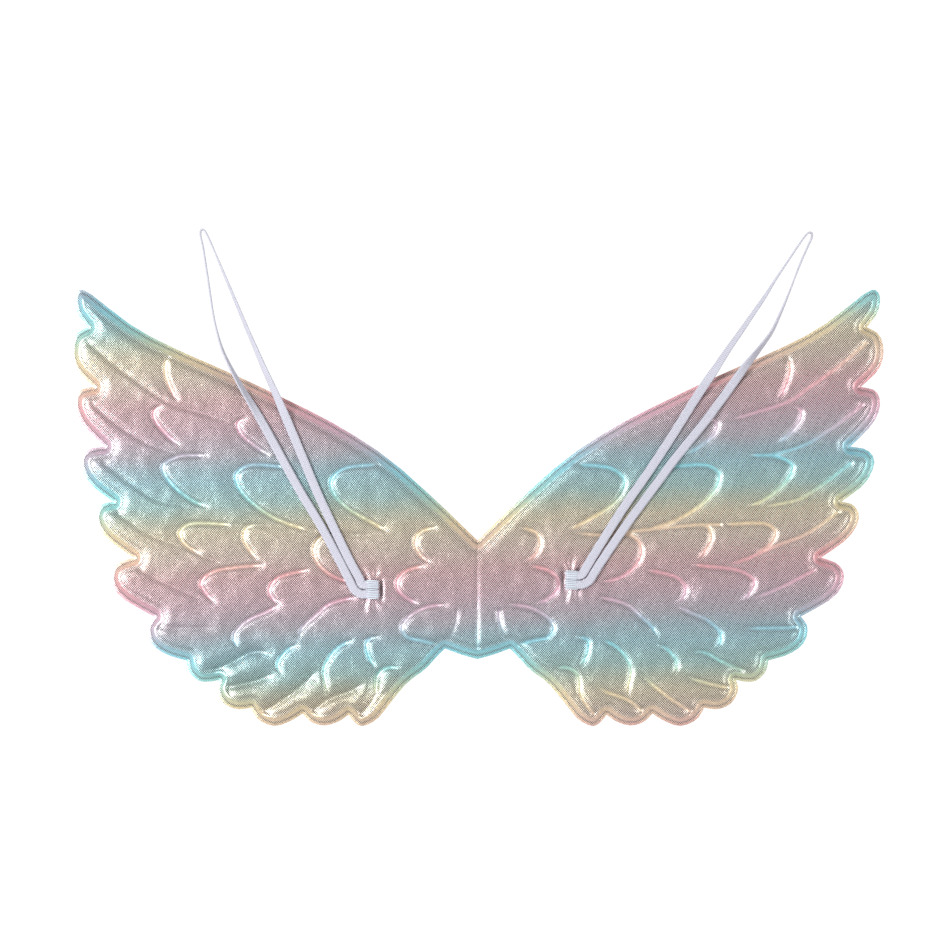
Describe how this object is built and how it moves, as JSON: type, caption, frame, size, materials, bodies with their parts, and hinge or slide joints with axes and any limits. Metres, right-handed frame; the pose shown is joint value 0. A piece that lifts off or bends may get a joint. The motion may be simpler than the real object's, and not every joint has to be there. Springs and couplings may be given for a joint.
{
  "type": "fairy wings",
  "caption": "Child's costume fairy wings: a padded, feather-embossed pair joined at a centre crease, with two elastic arm loops.",
  "frame": {"origin": "middle of the wings' box, without the arm loops, on the face that they rest on", "axes": "+X to the right when the strap side is looked at, +Y up the wings from the lowest feathers to the top tips, +Z out of the strap side"},
  "size_m": [0.462, 0.2829, 0.011],
  "materials": {
    "front_fabric": "iridescent metallic, rainbow bands, strap side",
    "back_fabric": "iridescent metallic, rainbow bands, display side",
    "foam": "white polyester padding",
    "elastic": "white knitted elastic",
    "thread": "white sewing thread"
  },
  "bodies": {
    "wing_right": {"right_front_fabric": "front_fabric", "right_foam_core": "foam", "right_back_fabric": "back_fabric", "right_strap_end_upper": "elastic", "right_strap_end_lower": "elastic", "right_bar_tack": "thread"},
    "wing_left": {"left_front_fabric": "front_fabric", "left_foam_core": "foam", "left_back_fabric": "back_fabric", "left_strap_end_upper": "elastic", "left_strap_end_lower": "elastic", "left_bar_tack": "thread"},
    "strap_left": {"left_strap_loop": "elastic"},
    "strap_right": {"right_strap_loop": "elastic"}
  },
  "joints": [
    {"name": "centre_fold", "type": "hinge", "parent": "wing_right", "child": "wing_left", "pos_m": [0, -0.05, 0.0013], "axis": [0, 1, 0], "range_deg": [0, 150]},
    {"name": "left_strap_swing", "type": "hinge", "parent": "wing_left", "child": "strap_left", "pos_m": [-0.064, -0.0518, 0.0068], "axis": [1, 0, 0], "range_deg": [0, 175]},
    {"name": "right_strap_swing", "type": "hinge", "parent": "wing_right", "child": "strap_right", "pos_m": [0.058, -0.0464, 0.0068], "axis": [1, 0, 0], "range_deg": [0, 175]}
  ]
}
